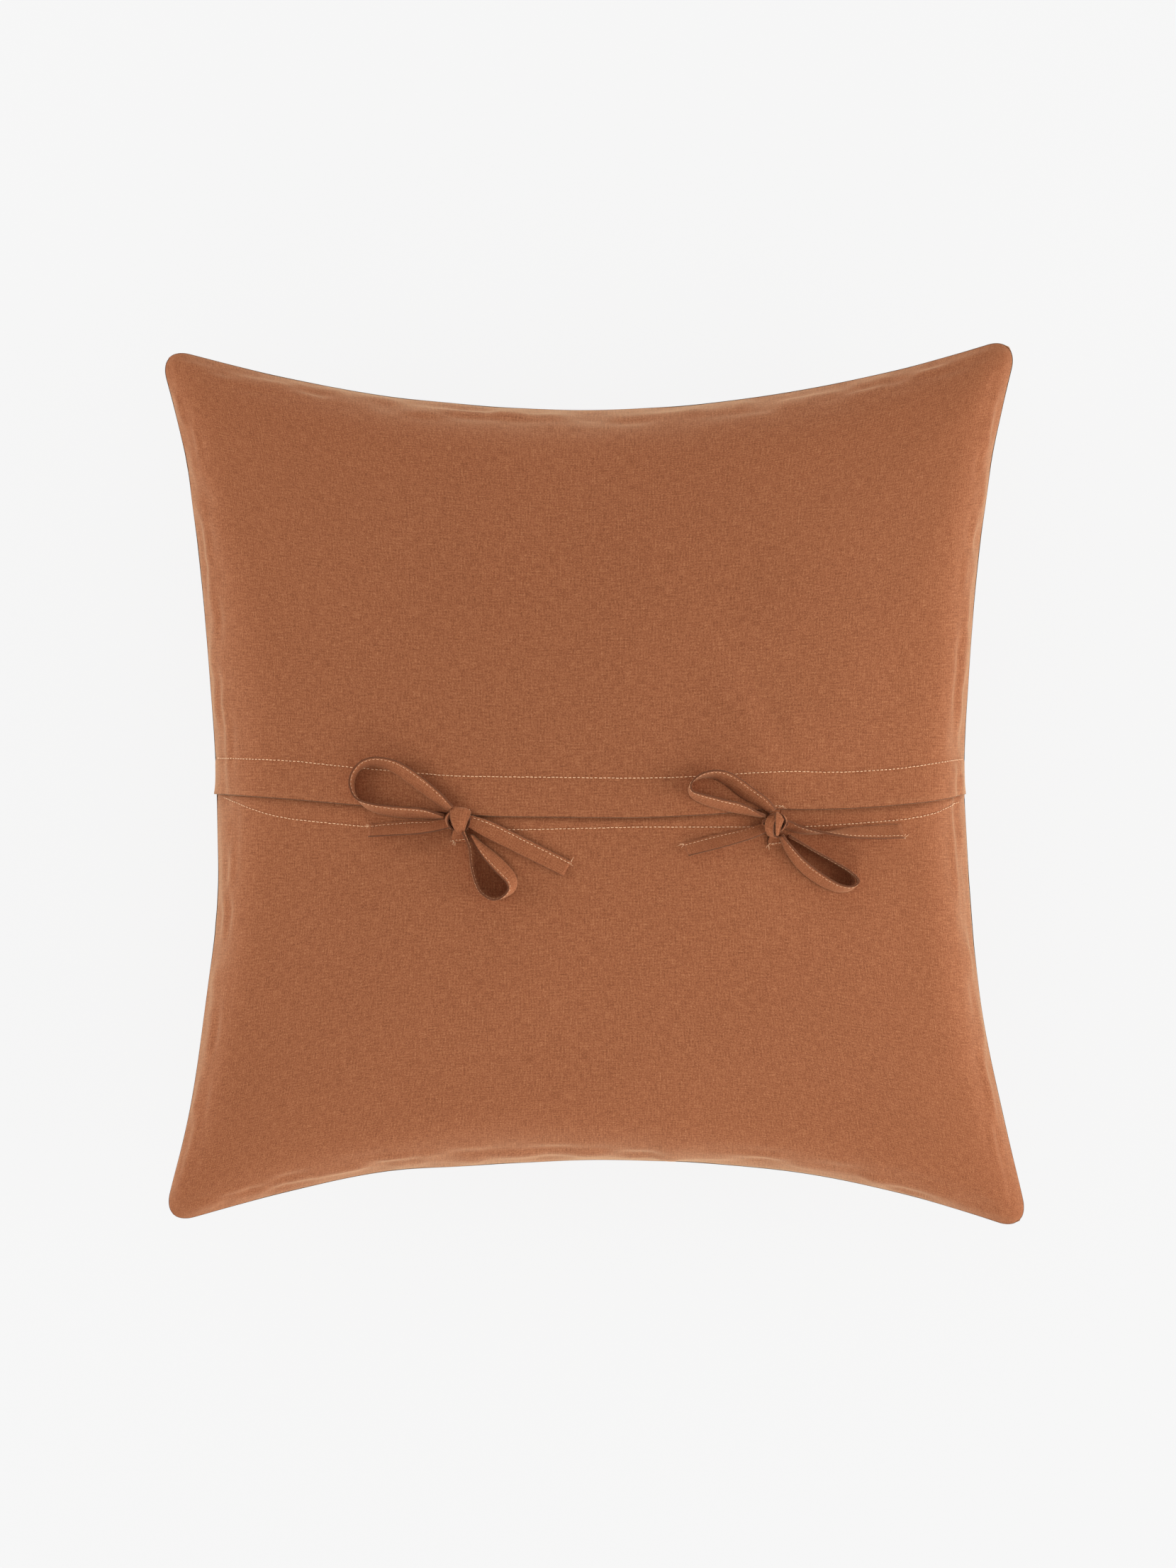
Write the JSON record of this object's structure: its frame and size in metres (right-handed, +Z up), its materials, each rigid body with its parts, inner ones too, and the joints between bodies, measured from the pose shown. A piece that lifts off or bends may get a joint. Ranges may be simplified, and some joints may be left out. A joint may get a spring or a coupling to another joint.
{
  "type": "floor cushion",
  "caption": "Large square floor cushion: a fibre-filled inner cushion in a linen envelope cover whose hemmed flap is held shut by tied bows.",
  "frame": {"origin": "middle of the cushion's box, on the floor that it lies on", "axes": "+Z up out of the tied back; +Y from the lower panel towards the flap; +X across, along the ties"},
  "size_m": [0.622, 0.64, 0.1906],
  "materials": {
    "linen": "matte",
    "linen_tape": "matte",
    "thread": "satin",
    "cotton": "matte",
    "fibre": "matte"
  },
  "bodies": {
    "cushion": {"cover_back_lower_panel": "linen", "cover_back_upper_panel": "linen", "cover_front_panel": "linen", "cover_seam_thread": "thread", "filling": "fibre", "flap_hem_stitching": "thread", "inner_case_back": "cotton", "inner_case_front": "cotton", "inner_case_seam_thread": "cotton", "left_knot": "linen_tape", "left_lower_tack": "thread", "left_lower_tie_stem": "linen_tape", "left_upper_tack": "thread", "left_upper_tie_stem": "linen_tape", "lower_hem_stitching": "thread", "right_knot": "linen_tape", "right_lower_tack": "thread", "right_lower_tie_stem": "linen_tape", "right_upper_tack": "thread", "right_upper_tie_stem": "linen_tape"},
    "left_upper_loop": {"left_upper_loop": "linen_tape"},
    "left_lower_loop": {"left_lower_loop": "linen_tape"},
    "left_left_tail": {"left_left_tail": "linen_tape"},
    "left_right_tail": {"left_right_tail": "linen_tape"},
    "right_upper_loop": {"right_upper_loop": "linen_tape"},
    "right_lower_loop": {"right_lower_loop": "linen_tape"},
    "right_left_tail": {"right_left_tail": "linen_tape"},
    "right_right_tail": {"right_right_tail": "linen_tape"}
  },
  "joints": [
    {"name": "left_upper_loop_lift", "type": "hinge", "parent": "cushion", "child": "left_upper_loop", "pos_m": [-0.10564, -0.02293, 0.18167], "axis": [0.3554, 0.9313, 0.08], "range_deg": [0, 45]},
    {"name": "left_lower_loop_lift", "type": "hinge", "parent": "cushion", "child": "left_lower_loop", "pos_m": [-0.09581, -0.03448, 0.18463], "axis": [-0.8662, -0.4801, -0.1383], "range_deg": [0, 45]},
    {"name": "left_left_tail_lift", "type": "hinge", "parent": "cushion", "child": "left_left_tail", "pos_m": [-0.10748, -0.03005, 0.17849], "axis": [-0.1016, 0.9947, 0.017], "range_deg": [0, 60]},
    {"name": "left_right_tail_lift", "type": "hinge", "parent": "cushion", "child": "left_right_tail", "pos_m": [-0.09112, -0.02799, 0.1794], "axis": [-0.4315, -0.8976, -0.0897], "range_deg": [0, 60]},
    {"name": "right_upper_loop_lift", "type": "hinge", "parent": "cushion", "child": "right_upper_loop", "pos_m": [0.12905, -0.02392, 0.17726], "axis": [0.4233, 0.9042, -0.0561], "range_deg": [0, 45]},
    {"name": "right_lower_loop_lift", "type": "hinge", "parent": "cushion", "child": "right_lower_loop", "pos_m": [0.13615, -0.03655, 0.17623], "axis": [-0.5965, -0.7971, 0.0934], "range_deg": [0, 45]},
    {"name": "right_left_tail_lift", "type": "hinge", "parent": "cushion", "child": "right_left_tail", "pos_m": [0.12377, -0.03318, 0.17503], "axis": [-0.2618, 0.9618, 0.0802], "range_deg": [0, 60]},
    {"name": "right_right_tail_lift", "type": "hinge", "parent": "cushion", "child": "right_right_tail", "pos_m": [0.13923, -0.03049, 0.17393], "axis": [-0.1182, -0.993, -0.0065], "range_deg": [0, 60]}
  ]
}
